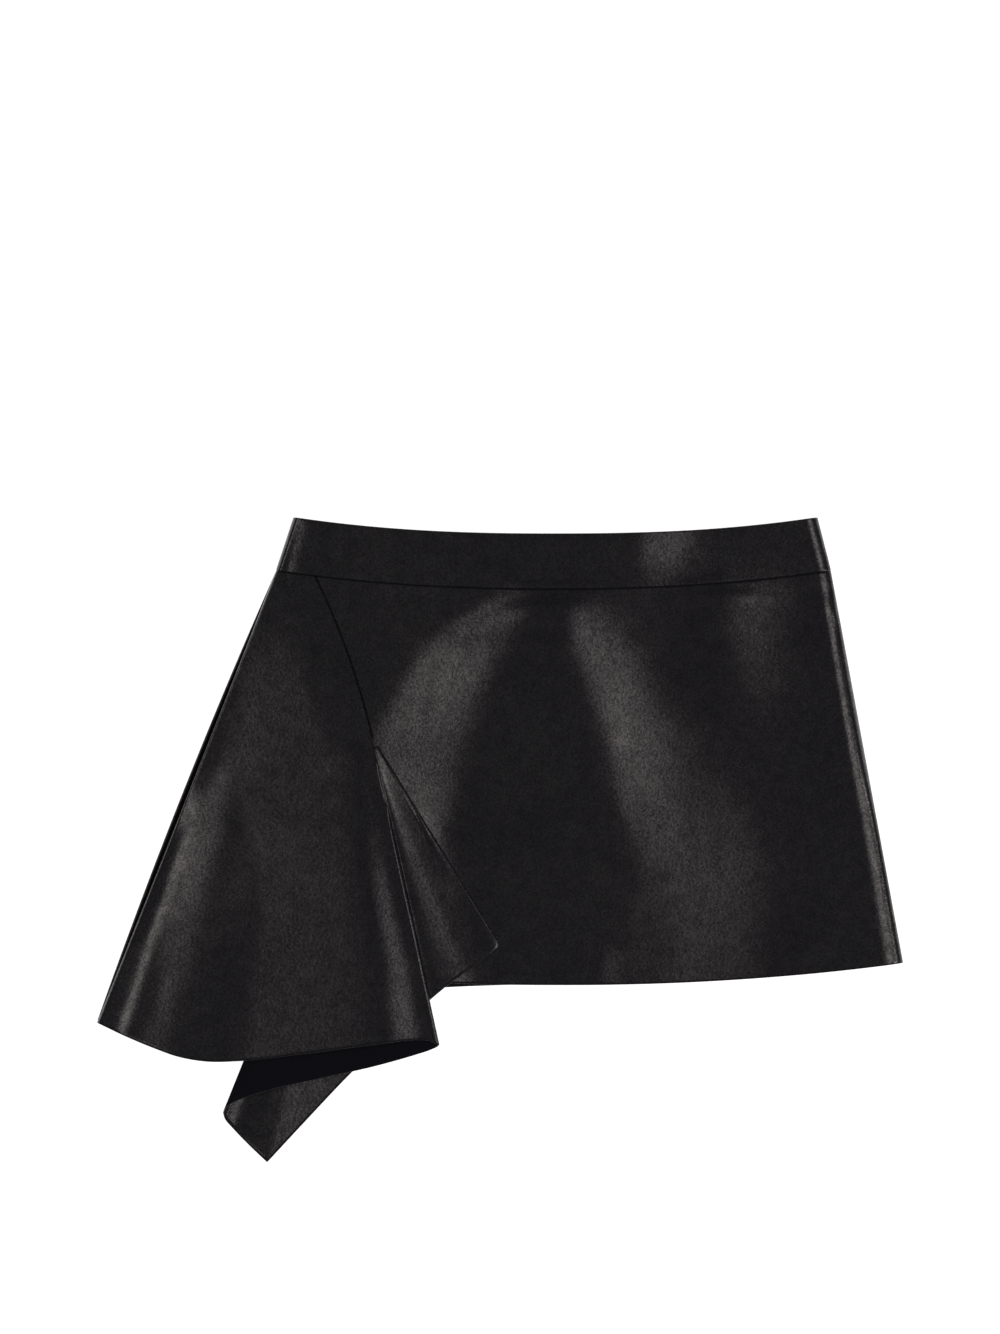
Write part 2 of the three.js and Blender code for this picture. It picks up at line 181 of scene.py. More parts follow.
WAIST_EDGE = Edge(middle_x=40.3, half_width=190.8, y=222.7, rise=12.0, bow=2.4)
BAND_SEAM = Edge(middle_x=38.9, half_width=201.7, y=182.5, rise=13.4, bow=2.2)
FRONT_HEM = Edge(middle_x=43.6, half_width=249.5, y=-104.8, rise=15.8, bow=2.2)


@dataclass(frozen=True)
class SoftFold:
    """A soft trough or ridge along a line.

    Attributes:
        start: Where it starts, x and y.
        end: Where it ends, x and y.
        width_start: Its half width at the start.
        width_end: Its half width at the end.
        height: How high it stands, or how deep it is if negative.
        fade: Share of its length over which each end fades.
    """

    start: tuple[float, float]
    end: tuple[float, float]
    width_start: float
    width_end: float
    height: float
    fade: float = 0.3

    def at(self, x: Any, y: Any) -> Any:
        """Give the height that the fold adds at points in plan."""
        run = np.subtract(self.end, self.start)
        length = math.hypot(*run)
        along = ((x - self.start[0]) * run[0] + (y - self.start[1]) * run[1]) / length ** 2
        off = ((x - self.start[0]) * run[1] - (y - self.start[1]) * run[0]) / length
        width = mix(self.width_start, self.width_end, np.clip(along, 0.0, 1.0))
        ends = smooth(along / self.fade + 0.5) * smooth((1 - along) / self.fade + 0.5)
        return self.height * ends * np.exp(-0.5 * (off / width) ** 2)


@dataclass(frozen=True)
class Station:
    """One level of a slope.

    Attributes:
        y: The level in plan.
        start: The x where the slope starts.
        end: The x where it ends.
        rise: How much the leather rises from start to end.
    """

    y: float
    start: float
    end: float
    rise: float


@dataclass(frozen=True)
class Slope:
    """A soft slope that runs down the skirt, with the leather higher on one side of it.

    Attributes:
        stations: Its levels, from the top down.
        soft_start: How softly it starts.
        soft_end: How softly it ends.
    """

    stations: tuple[Station, ...]
    soft_start: float = 5.0
    soft_end: float = 5.0

    def at(self, x: Any, y: Any) -> Any:
        """Give the height that the slope adds at points in plan."""
        rows = [(s.start, s.end, s.rise) for s in self.stations]
        read = spline([-s.y for s in self.stations], rows, -np.asarray(y, float))
        start, end, rise = np.moveaxis(read, -1, 0)
        climbed = self.soft_start * np.logaddexp(0.0, (x - start) / self.soft_start)
        past = self.soft_end * np.logaddexp(0.0, (x - end) / self.soft_end)
        return rise * (climbed - past) / (end - start)


def relief(folds: Iterable[SoftFold | Slope], x: Any, y: Any) -> Any:
    """Add up the soft folds and slopes at points in plan.

    Args:
        folds: The folds and slopes of one piece.
        x: Places across.
        y: Places up.

    Returns:
        The height that they add together.
    """
    return sum((fold.at(x, y) for fold in folds), np.zeros(np.shape(x)))


class Rim(Enum):
    """How the edge of a piece of leather is finished."""

    CUT = "cut square, with the pale core showing"
    TURNED = "turned over, with the grain side outwards"


def linear(hex_colour: str) -> tuple[float, float, float, float]:
    """Turn an sRGB hex colour to linear.

    Args:
        hex_colour: Six digits after a hash.

    Returns:
        Linear red, green and blue, with an alpha of 1.
    """
    parts = [int(hex_colour[i:i + 2], 16) / 255 for i in (1, 3, 5)]
    turned = [c / 12.92 if c <= 0.04045 else ((c + 0.055) / 1.055) ** 2.4 for c in parts]
    return (*turned, 1.0)


def add_node(
    tree: bpy.types.NodeTree,
    kind: str,
    settings: dict[str, Any] | None = None,
    values: dict[str, Any] | None = None,
    links: dict[str, bpy.types.NodeSocket] | None = None,
) -> bpy.types.Node:
    """Add a node with its settings, its socket values and what feeds it.

    Args:
        tree: The tree that it goes in.
        kind: The node's type name.
        settings: Properties of the node.
        values: Values of its unlinked inputs, by name or index.
        links: Outputs that feed its inputs, by name or index.

    Returns:
        The node.
    """
    node = tree.nodes.new(kind)
    for name, value in (settings or {}).items():
        setattr(node, name, value)
    for name, value in (values or {}).items():
        node.inputs[name].default_value = value
    for name, socket in (links or {}).items():
        tree.links.new(socket, node.inputs[name])
    return node


def new_material(name: str) -> tuple[bpy.types.Material, bpy.types.NodeTree]:
    """Make an empty node material.

    Args:
        name: The material's name.

    Returns:
        The material and its tree.
    """
    material = bpy.data.materials.new(name)
    material.use_nodes = True
    material.node_tree.nodes.clear()
    return material, material.node_tree


@dataclass(frozen=True)
class NappaLeather:
    """Black full-grain nappa, drum-dyed, with a thin satin finish sprayed over its grain.

    The grain breaks the gloss into a soft sparkle, and the finish lets broad lights roll over it.
    The real pebbles are about 0.5 mm across, and are drawn 1 mm across, so that they show.

    Attributes:
        base: Colour of the finish where it is darkest.
        worn: Colour where the finish is thinner.
        roughness_low: Roughness where the finish is fullest.
        roughness_high: Roughness where it is thinnest.
        grain_mm: Size of a pebble of the grain.
        furrow_mm: Spacing of the furrows between groups of pebbles.
        furrow_depth_mm: Depth of the furrows.
        gloss_low: Specular level in the furrows.
        gloss_high: Specular level on the tops of the pebbles.
        patch_mm: Size of the patches in which the finish varies.
        mottle_mm: Size of the patches in which the gloss varies.
        mottle: How much the gloss varies between them, as a share.
        name: The material's name.
    """

    base: str = "#19181d"
    worn: str = "#1d1c1f"
    roughness_low: float = 0.225
    roughness_high: float = 0.255
    grain_mm: float = 1.0
    furrow_mm: float = 2.3
    furrow_depth_mm: float = 0.08
    gloss_low: float = 0.32
    gloss_high: float = 0.8
    patch_mm: float = 60.0
    mottle_mm: float = 11.0
    mottle: float = 0.22
    name: str = "black nappa leather, satin finish"

    def build(self) -> bpy.types.Material:
        """Make the material.

        Returns:
            The node material.
        """
        material, tree = new_material(self.name)
        place = add_node(tree, "ShaderNodeTexCoord").outputs["Object"]
        patches = add_node(tree, "ShaderNodeTexNoise", values={
            "Scale": 1 / (self.patch_mm * MM), "Detail": 3.0, "Roughness": 0.55,
        }, links={"Vector": place})
        grain = add_node(tree, "ShaderNodeTexVoronoi", values={
            "Scale": 1 / (self.grain_mm * MM),
        }, links={"Vector": place})
        furrows = add_node(tree, "ShaderNodeTexNoise", values={
            "Scale": 1 / (self.furrow_mm * MM), "Detail": 2.0, "Roughness": 0.5,
        }, links={"Vector": place})
        bump = add_node(tree, "ShaderNodeBump", values={
            "Strength": 1.0, "Distance": self.furrow_depth_mm * MM,
        }, links={"Height": furrows.outputs["Fac"]})
        colour = add_node(tree, "ShaderNodeMix", {"data_type": "RGBA"}, {
            6: linear(self.base), 7: linear(self.worn),
        }, {0: patches.outputs["Fac"]})
        roughness = add_node(tree, "ShaderNodeMapRange", values={
            "From Min": 0.3, "From Max": 0.7,
            "To Min": self.roughness_low, "To Max": self.roughness_high,
        }, links={"Value": patches.outputs["Fac"]})
        gloss = add_node(tree, "ShaderNodeMapRange", values={
            "From Min": 0.2, "From Max": 0.8, "To Min": self.gloss_low, "To Max": self.gloss_high,
        }, links={"Value": grain.outputs["Color"]})
        cloud = add_node(tree, "ShaderNodeTexNoise", values={
            "Scale": 1 / (self.mottle_mm * MM), "Detail": 2.0, "Roughness": 0.6,
        }, links={"Vector": place})
        share = add_node(tree, "ShaderNodeMapRange", values={
            "From Min": 0.3, "From Max": 0.7, "To Min": 1 - self.mottle, "To Max": 1 + self.mottle,
        }, links={"Value": cloud.outputs["Fac"]})
        mottled = add_node(tree, "ShaderNodeMath", {"operation": "MULTIPLY"}, links={
            0: gloss.outputs[0], 1: share.outputs[0],
        })
        shader = add_node(tree, "ShaderNodeBsdfPrincipled", values={"IOR": 1.5}, links={
            "Base Color": colour.outputs[2],
            "Roughness": roughness.outputs[0],
            "Specular IOR Level": mottled.outputs[0],
            "Normal": bump.outputs[0],
        })
        add_node(tree, "ShaderNodeOutputMaterial", links={"Surface": shader.outputs[0]})
        return material


@dataclass(frozen=True)
class SuedeSide:
    """The wrong side of the hide, dyed through and buffed: a short nap with almost no gloss.

    Attributes:
        base: Colour of the nap.
        light: Colour where the nap lies the other way.
        nap_mm: Size of the tufts of the nap.
    """

    base: str = "#151519"
    light: str = "#1c1c23"
    nap_mm: float = 1.4

    def build(self) -> bpy.types.Material:
        """Make the material.

        Returns:
            The node material.
        """
        material, tree = new_material("dyed suede, wrong side of the hide")
        place = add_node(tree, "ShaderNodeTexCoord").outputs["Object"]
        nap = add_node(tree, "ShaderNodeTexNoise", values={
            "Scale": 1 / (self.nap_mm * MM), "Detail": 4.0, "Roughness": 0.7,
        }, links={"Vector": place})
        colour = add_node(tree, "ShaderNodeMix", {"data_type": "RGBA"}, {
            6: linear(self.base), 7: linear(self.light),
        }, {0: nap.outputs["Fac"]})
        bump = add_node(tree, "ShaderNodeBump", values={
            "Strength": 0.4, "Distance": 0.1 * MM,
        }, links={"Height": nap.outputs["Fac"]})
        shader = add_node(tree, "ShaderNodeBsdfPrincipled", values={
            "IOR": 1.45, "Roughness": 0.95, "Specular IOR Level": 0.05,
        }, links={"Base Color": colour.outputs[2], "Normal": bump.outputs[0]})
        add_node(tree, "ShaderNodeOutputMaterial", links={"Surface": shader.outputs[0]})
        return material


@dataclass(frozen=True)
class CutEdge:
    """The knife-cut edge of the hide, burnished: the fibres are paler than the two faces.

    Attributes:
        fibre: Colour of the dyed fibres.
        pale: Colour where the knife opened them.
        fleck_mm: Size of the pale flecks.
    """

    fibre: str = "#2c2a2a"
    pale: str = "#565250"
    fleck_mm: float = 2.2

    def build(self) -> bpy.types.Material:
        """Make the material.

        Returns:
            The node material.
        """
        material, tree = new_material("cut edge of dyed hide, burnished")
        place = add_node(tree, "ShaderNodeTexCoord").outputs["Object"]
        flecks = add_node(tree, "ShaderNodeTexNoise", values={
            "Scale": 1 / (self.fleck_mm * MM), "Detail": 3.0, "Roughness": 0.6,
        }, links={"Vector": place})
        colour = add_node(tree, "ShaderNodeMix", {"data_type": "RGBA"}, {
            6: linear(self.fibre), 7: linear(self.pale),
        }, {0: flecks.outputs["Fac"]})
        shader = add_node(tree, "ShaderNodeBsdfPrincipled", values={
            "IOR": 1.45, "Roughness": 0.6,
        }, links={"Base Color": colour.outputs[2]})
        add_node(tree, "ShaderNodeOutputMaterial", links={"Surface": shader.outputs[0]})
        return material


@dataclass(frozen=True)
class Hide:
    """The faces that a piece of this leather shows.

    Attributes:
        right: Material of the grain side.
        wrong: Material of the suede side.
        edge: Material of the cut edge.
        fold: Material of the grain side where it turns down into a seam, darker and duller than the rest:
            painted shade.
    """

    right: bpy.types.Material
    wrong: bpy.types.Material
    edge: bpy.types.Material
    fold: bpy.types.Material


@dataclass
class LeatherWall:
    """A grid of points through the middle of a piece, made into a closed shell with rims.

    Attributes:
        name: Name of the piece.
        grid: Rows and columns of points in millimetres, with NaN where there is no leather.
        thickness: Thickness of the shell.
        rim: How the edges are finished.
        bulge: How far the middle of an edge stands out, as a share of half the thickness.
        level: Columns whose wall stays level at its end, because it meets a side seam.
        rim_steps: Steps round a rim.
        sewn: Which points of the grid are on an edge that is turned into a seam.
        folded: Which points of the grid are in the fold beside a seam, whose faces get the darker, duller
            material: painted shade.
    """

    name: str
    grid: Grid
    thickness: float
    rim: Rim
    bulge: float = 0.5
    level: tuple[int, ...] = ()
    rim_steps: int = 4
    sewn: np.ndarray | None = None
    folded: np.ndarray | None = None

    def build(self, hide: Hide) -> bpy.types.Object:
        """Make the mesh and dress it.

        Args:
            hide: The materials of its faces.

        Returns:
            The object, linked to the scene.
        """
        rows, columns = self.grid.shape[:2]
        points = self.grid.reshape(-1, 3)
        there = ~np.isnan(points[:, 0])
        corner = np.arange(rows * columns).reshape(rows, columns)
        quads = np.stack([corner[:-1, :-1], corner[1:, :-1], corner[1:, 1:], corner[:-1, 1:]], -1)
        quads = quads.reshape(-1, 4)
        quads = quads[there[quads].all(1)]
        used = np.unique(quads)
        place = np.full(len(points), -1)
        place[used] = np.arange(len(used))
        quads, middle = place[quads], points[used]
        normals = self._normals(middle, quads, used % columns)
        half = normals * self.thickness / 2
        rim_from, rim_to = self._boundary(quads)
        ring, out = self._outward(middle, normals, rim_from, rim_to)
        count = len(middle)
        parts = [middle + half, middle - half]
        turns = np.linspace(math.pi / 2, -math.pi / 2, self.rim_steps + 1)[1:-1]
        where = {int(v): i for i, v in enumerate(ring)}
        for turn in turns:
            reach = out * self.thickness / 2 * self.bulge * math.cos(turn)
            parts.append(middle[ring] + reach + half[ring] * math.sin(turn))
        faces = [quads, quads[:, ::-1] + count]
        a = np.array([where[int(v)] for v in rim_from])
        b = np.array([where[int(v)] for v in rim_to])
        rings = [(rim_from, rim_to)]
        for i in range(len(turns)):
            start = 2 * count + i * len(ring)
            rings.append((a + start, b + start))
        rings.append((rim_from + count, rim_to + count))
        for (p, q), (r, s) in zip(rings[:-1], rings[1:]):
            faces.append(np.stack([p, r, s, q], -1))
        turned = np.full(len(used), self.rim is Rim.TURNED)
        if self.sewn is not None:
            turned = turned | self.sewn.ravel()[used]
        # Faces wholly in the fold beside a seam take the darker, duller material: painted shade.
        dark = np.zeros(len(used), bool) if self.folded is None else self.folded.ravel()[used]
        kinds = np.concatenate([
            np.where(dark[quads].all(1), 3, 0),
            np.full(len(faces[1]), 1),
            np.tile(np.where(turned[rim_from] & turned[rim_to], 0, 2), len(faces) - 2),
        ])
        return self._object(np.concatenate(parts), np.concatenate(faces), kinds, hide)

    def _normals(self, middle: np.ndarray, quads: np.ndarray, columns: np.ndarray) -> np.ndarray:
        """Give the unit normal of the sheet at each point."""
        across = middle[quads[:, 2]] - middle[quads[:, 0]]
        back = middle[quads[:, 1]] - middle[quads[:, 3]]
        face = np.cross(back, across)
        normals = np.zeros_like(middle)
        for i in range(4):
            np.add.at(normals, quads[:, i], face)
        for column in self.level:
            normals[columns == column, 2] = 0.0
        return normals / np.linalg.norm(normals, axis=1, keepdims=True)

    @staticmethod
    def _boundary(quads: np.ndarray) -> tuple[np.ndarray, np.ndarray]:
        """Give the two ends of each edge that has a face on one side only."""
        start = quads.ravel()
        end = np.roll(quads, -1, axis=1).ravel()
        size = int(quads.max()) + 1
        forward = start.astype(np.int64) * size + end
        backward = end.astype(np.int64) * size + start
        alone = ~np.isin(forward, backward)
        return start[alone], end[alone]

    @staticmethod
    def _outward(
        middle: np.ndarray, normals: np.ndarray, start: np.ndarray, end: np.ndarray,
    ) -> tuple[np.ndarray, np.ndarray]:
        """Give the points of the boundary and the direction out of the sheet at each."""
        ring = np.unique(start)
        tangent = middle[end] - middle[start]
        tangent /= np.linalg.norm(tangent, axis=1, keepdims=True)
        total = np.zeros_like(middle)
        np.add.at(total, start, np.cross(tangent, normals[start]))
        np.add.at(total, end, np.cross(tangent, normals[end]))
        out = total[ring]
        return ring, out / np.maximum(np.linalg.norm(out, axis=1, keepdims=True), 1e-9)

    def _object(
        self, points: np.ndarray, faces: np.ndarray, kinds: np.ndarray, hide: Hide,
    ) -> bpy.types.Object:
        """Make the Blender object from points, faces and the kind of each face."""
        mesh = bpy.data.meshes.new(self.name)
        mesh.from_pydata((points * MM).tolist(), [], faces.tolist())
        for material in (hide.right, hide.wrong, hide.edge, hide.fold):
            mesh.materials.append(material)
        mesh.polygons.foreach_set("material_index", kinds.astype(np.int32))
        mesh.polygons.foreach_set("use_smooth", np.ones(len(faces), bool))
        mesh.update()
        piece = bpy.data.objects.new(self.name, mesh)
        bpy.context.scene.collection.objects.link(piece)
        return piece


@dataclass
class SkirtShape:
    """The forms that more than one piece follows.

    Attributes:
        seam_start_x: Where the flounce's seam leaves the waistband.
        seam_reach: How far right the seam would come in the end.
        seam_settle: How fast it turns downwards.
        corner: The flounce's free corner at the left.
        pivot: The point that the flounce's folds fan out from.
        side_seam_z: Height of the side seams.
        seam_level: Height of the front beside the flounce's seam, by y.
        groove: How deep the seams are.
        groove_width: How wide one side of a seam's groove is.
        seam_open: Gap between the front and the flounce along their seam.
        painted_shade_width: How wide the strip of painted shade on each side of that seam is.
        front_relief: Slopes and folds of the front and of the waistband above it.
    """

    seam_start_x: float = -134.5
    seam_reach: float = 81.2
    seam_settle: float = 162.0
    corner: tuple[float, float] = (-292.5, -132.7)
    pivot: tuple[float, float] = (-92.3, 72.7)
    side_seam_z: float = 4.1
    seam_level: tuple[tuple[float, float], ...] = (
        (186.0, 11.0), (167.0, 9.9), (138.0, 9.4), (109.0, 9.8), (80.0, 10.6), (65.0, 10.4),
        (51.0, 9.6), (22.0, 7.8), (-7.0, 6.2), (-36.0, 5.2), (-65.0, 4.8), (-110.0, 4.8),
    )
    groove: float = 0.9
    groove_width: float = 0.6
    seam_open: float = 0.35
    painted_shade_width: float = 0.62
    front_relief: tuple[SoftFold | Slope, ...] = (
        Slope((
            Station(240.0, -130.0, 98.0, 4.2),
            Station(186.0, -130.0, 80.0, 3.4),
            Station(160.0, -120.0, 60.0, 2.0),
            Station(130.0, -110.0, 40.0, 1.0),
            Station(100.0, -110.0, 20.0, 0.0),
        ), 12.0, 12.0),
        Slope((
            Station(190.0, -4.0, 30.0, 0.0),
            Station(178.0, -8.0, 26.0, 3.0),
            Station(167.2, -20.0, 20.0, 6.2),
            Station(152.7, -44.0, 12.0, 7.4),
            Station(138.1, -60.0, 5.0, 8.9),
            Station(123.6, -67.0, -3.6, 9.4),
            Station(109.0, -76.0, -9.0, 9.8),
            Station(94.5, -84.0, -14.5, 9.8),
            Station(80.0, -91.0, -19.0, 9.4),
            Station(65.4, -97.0, -23.0, 9.1),
            Station(50.9, -100.0, -27.0, 9.1),
            Station(36.4, -99.0, -30.0, 9.3),
            Station(21.8, -96.0, -34.0, 9.5),
            Station(8.0, -90.0, -40.0, 9.4),
            Station(-7.3, -84.0, -40.0, 9.5),
            Station(-36.4, -80.0, -34.0, 10.4),
            Station(-65.4, -76.0, -28.0, 10.4),
            Station(-110.0, -74.0, -18.0, 10.2),
        ), 4.5, 6.0),
        Slope((
            Station(190.0, 40.0, 60.0, 0.0),
            Station(178.0, 45.0, 70.0, -1.8),
            Station(167.2, 48.0, 76.0, -3.8),
            Station(152.7, 49.0, 82.0, -5.2),
            Station(138.1, 52.0, 92.0, -6.0),
            Station(109.0, 62.0, 111.0, -7.1),
            Station(80.0, 72.0, 117.0, -7.0),
            Station(50.9, 79.0, 122.0, -6.0),
            Station(21.8, 85.0, 120.0, -4.4),
            Station(-7.3, 98.0, 122.0, -2.8),
            Station(-36.4, 98.0, 124.0, -2.4),
            Station(-65.4, 88.0, 130.0, -2.6),
            Station(-110.0, 80.0, 130.0, -2.6),
        ), 4.0, 9.0),
        Slope((
            Station(190.0, 76.0, 150.0, 0.0),
            Station(178.0, 76.0, 150.0, -1.4),
            Station(167.2, 76.0, 150.0, -2.4),
            Station(152.7, 82.0, 142.0, -2.6),
            Station(138.1, 90.0, 134.0, -2.4),
            Station(109.0, 111.0, 136.0, -1.0),
            Station(80.0, 116.0, 150.0, -1.8),
            Station(50.9, 119.0, 162.0, -2.4),
            Station(21.8, 118.0, 182.0, -4.6),
            Station(-7.3, 122.0, 190.0, -5.5),
            Station(-36.4, 124.0, 192.0, -5.6),
            Station(-65.4, 126.0, 190.0, -4.8),
            Station(-110.0, 120.0, 184.0, -4.2),
        ), 6.0, 8.0),
        Slope((
            Station(233.0, 103.0, 146.0, -4.8),
            Station(214.5, 101.0, 146.0, -5.4),
            Station(199.9, 101.0, 146.0, -5.2),
            Station(186.0, 103.0, 149.0, -3.4),
            Station(176.0, 103.0, 150.0, -0.6),
            Station(166.0, 102.0, 149.0, 0.0),
        ), 3.0, 7.0),
        Slope((
            Station(233.0, 160.0, 218.0, -0.6),
            Station(199.9, 156.0, 218.0, -1.0),
            Station(188.0, 168.0, 216.0, -1.6),
            Station(178.0, 174.0, 218.0, -3.2),
            Station(167.2, 172.0, 218.0, -1.9),
            Station(152.7, 166.0, 214.0, -1.3),
            Station(138.1, 164.0, 214.0, -0.8),
            Station(109.0, 176.0, 218.0, -0.6),
            Station(80.0, 180.0, 220.0, 0.0),
        ), 9.0, 5.0),
        Slope((
            Station(233.0, 218.0, 285.0, 1.0),
            Station(100.0, 205.0, 285.0, 2.2),
            Station(-110.0, 200.0, 290.0, 3.4),
        ), 8.0, 8.0),
        SoftFold((152.0, 190.0), (168.0, 96.0), 20.0, 25.0, 2.2, 0.7),
        SoftFold((74.0, -78.0), (66.0, -120.0), 7.0, 9.0, 0.8),
    )

    def seam_x(self, y: Any) -> Any:
        """Give the x of the flounce's seam at a y."""
        start = BAND_SEAM.at(self.seam_start_x)
        return self.seam_start_x + self.seam_reach * (1 - np.exp((y - start) / self.seam_settle))

    def plain_side_x(self, y: Any) -> Any:
        """Give the x of the outline at the side that has no flounce."""
        top, foot = BAND_SEAM.at(240.0), FRONT_HEM.at(293.0)
        share = (top - y) / (top - foot)
        return mix(BAND_SEAM.middle_x + BAND_SEAM.half_width,
                   FRONT_HEM.middle_x + FRONT_HEM.half_width, share)

    def hip_side_x(self, y: Any) -> Any:
        """Give the x of the outline at the flounce's side."""
        top = BAND_SEAM.at(-162.0)
        share = (top - y) / (top - self.corner[1])
        return mix(BAND_SEAM.middle_x - BAND_SEAM.half_width, self.corner[0], share)

    def front_height(self, x: Any, y: Any) -> Any:
        """Give the height of the front's wall at points in plan.

        Args:
            x: Places across.
            y: Places up.

        Returns:
            Heights above the table.
        """
        levels, heights = zip(*self.seam_level)
        level = spline([-place for place in levels], heights, -np.asarray(y, float))
        return level + relief(self.front_relief, x, y)

    def sunk(self, away: Any) -> Any:
        """Give how far a sewn edge sinks into its seam, at a distance from the seam."""
        return self.groove * np.exp(-(np.asarray(away, float) / self.groove_width) ** 2)


@dataclass
class Waistband:
    """The contoured band round the waist, in a front and a back.

    Attributes:
        shape: The forms that the pieces share.
        wall: Thickness of the band, which is leather turned over a stay.
        roll: Width of the front's roll at its left side and at its right.
        curl: Width of the curl at each side of the back.
        folds: Soft dents and swells of the front.
    """

    shape: SkirtShape
    wall: float = 2.4
    roll: tuple[float, float] = (3.0, 8.0)
    curl: float = 4.5
    folds: tuple[SoftFold, ...] = (
        SoftFold((-147.0, 236.0), (-157.0, 192.0), 4.0, 4.0, -0.8),
    )

    def _grid(
        self, end_z: float, crown_z: float, roll: tuple[float, float], rows: int, columns: int,
    ) -> Grid:
        """Lay out the points of a band between the waist's edge and its seam."""
        width = 2 * WAIST_EDGE.half_width
        places = rolled_places(width, *roll, columns)
        down = np.linspace(0.0, 1.0, rows)[:, None]
        across = 2 * places / width - 1

        def edge(line: Edge, gap: float) -> tuple[np.ndarray, np.ndarray]:
            """Give the points of one edge of the band."""
            x = line.middle_x + (line.half_width - self.wall / 2) * across
            return x, line.at(x) + gap

        top, foot = edge(WAIST_EDGE, -self.wall * 0.35), edge(BAND_SEAM, SEAM_GAP / 2 + 0.6)
        x, y = mix(top[0], foot[0], down), mix(top[1], foot[1], down)
        inwards = np.minimum(places / roll[0], (width - places) / roll[1])
        z = mix(end_z, crown_z, rolled(inwards)) + np.zeros_like(x)
        return np.stack([x, y, z], -1)

    def front(self, hide: Hide) -> bpy.types.Object:
        """Build the front of the band, whose edges are turned."""
        grid = self._grid(self.shape.side_seam_z, 1.0, self.roll, 30, 180)
        share = (grid[..., 2] - self.shape.side_seam_z) / (1.0 - self.shape.side_seam_z)
        x, y = grid[..., 0], grid[..., 1]
        crown = self.shape.front_height(x, y) + relief(self.folds, x, y)
        grid[..., 2] = mix(self.shape.side_seam_z, crown, share)
        last = grid.shape[1] - 1
        return LeatherWall("waistband_front_leather", grid, self.wall, Rim.TURNED,
                           bulge=0.8, level=(0, last), rim_steps=8).build(hide)

    def back(self, hide: Hide) -> bpy.types.Object:
        """Build the back of the band, which lies on the surface."""
        grid = self._grid(self.shape.side_seam_z - SEAM_GAP, self.wall / 2, (self.curl, self.curl), 12, 80)
        last = grid.shape[1] - 1
        return LeatherWall("waistband_back_leather", grid, self.wall, Rim.TURNED,
                           bulge=0.8, level=(0, last), rim_steps=8).build(hide)


@dataclass
class Panels:
    """The flared front and the plain flared back.

    Attributes:
        shape: The forms that the pieces share.
        leather: Thickness of the hide.
        side_roll: Width of the front's roll at its side, at the top and at the hem.
        curl: Width of the back's curl at each side.
    """

    shape: SkirtShape
    leather: float = 1.2
    side_roll: tuple[float, float] = (10.0, 15.0)
    curl: float = 4.5

    def front(self, hide: Hide) -> bpy.types.Object:
        """Build the front from the flounce's seam to the side."""
        shape = self.shape
        rows = []
        top_y = float(BAND_SEAM.at(shape.seam_start_x)) - SEAM_GAP / 2
        foot_y = float(FRONT_HEM.at(-66.7))
        starts = top_y - np.concatenate([SEAM_STEPS, np.linspace(SEAM_STEPS[-1], top_y - foot_y, 140)[1:]])
        for start_y in starts:
            seam_x = float(shape.seam_x(start_y))
            top = float(BAND_SEAM.at(seam_x)) - SEAM_GAP / 2
            down = (top - start_y) / (top - float(FRONT_HEM.at(seam_x)))
            start_x = seam_x + shape.seam_open / 2
            end_y = mix(float(BAND_SEAM.at(240.0)), float(FRONT_HEM.at(293.0)), down)
            end_x = float(shape.plain_side_x(end_y)) - self.leather / 2
            roll = mix(*self.side_roll, down)
            places = rolled_places(end_x - start_x, 6.0, roll, 190)
            x = start_x + places
            y = mix(BAND_SEAM.at(x) - SEAM_GAP / 2, FRONT_HEM.at(x), down)
            inwards = (end_x - x) / roll
            sunk = shape.sunk(BAND_SEAM.at(x) - y)
            z = mix(shape.side_seam_z, shape.front_height(x, y) - sunk, rolled(inwards))
            rows.append(np.stack([x, y, z], -1))
        grid = np.array(rows)
        sewn = np.zeros(grid.shape[:2], bool)
        sewn[0] = True
        sewn[starts > shape.pivot[1], 0] = True
        # The narrow strip beside the flounce's seam takes the darker material: painted shade.
        folded = grid[..., 0] - grid[:, :1, 0] < shape.painted_shade_width
        folded &= (starts > shape.pivot[1])[:, None]
        return LeatherWall("front_panel_leather", grid, self.leather, Rim.CUT, 0.4,
                           (grid.shape[1] - 1,), sewn=sewn, folded=folded).build(hide)

    def _back_hem_y(self, x: np.ndarray) -> np.ndarray:
        """Give the y of the back's hem, from the flounce's corner round to the front's side."""
        corner_x, corner_y = self.shape.corner
        away = np.clip((x - corner_x) / (FRONT_HEM.middle_x - corner_x), 0.0, 1.0)
        straight = mix(corner_y + 2, FRONT_HEM.y, smooth(away * 0.5 + 0.5) * 2 - 1)
        return np.where(x < FRONT_HEM.middle_x, straight, FRONT_HEM.at(x))

    def back(self, hide: Hide) -> bpy.types.Object:
        """Build the back, flat where it lies on the surface."""
        shape = self.shape
        rows = []
        for down in np.linspace(0.0, 1.0, 60):
            hip_y = mix(float(BAND_SEAM.at(-162.0)), shape.corner[1], down)
            end_y = mix(float(BAND_SEAM.at(240.0)), float(FRONT_HEM.at(293.0)), down)
            hip_x = float(shape.hip_side_x(hip_y)) + self.leather / 2
            width = float(shape.plain_side_x(end_y)) - self.leather / 2 - hip_x
            places = rolled_places(width, self.curl, self.curl, 120)
            x = hip_x + places
            y = mix(BAND_SEAM.at(x) - SEAM_GAP / 2, self._back_hem_y(x), down)
            inwards = np.minimum(places, width - places) / self.curl
            z = mix(shape.side_seam_z - SEAM_GAP, self.leather / 2, rolled(inwards))
            rows.append(np.stack([x, y, z], -1))
        grid = np.array(rows)
        return LeatherWall("back_panel_leather", grid, self.leather, Rim.CUT, 0.4,
                           (0, grid.shape[1] - 1)).build(hide)


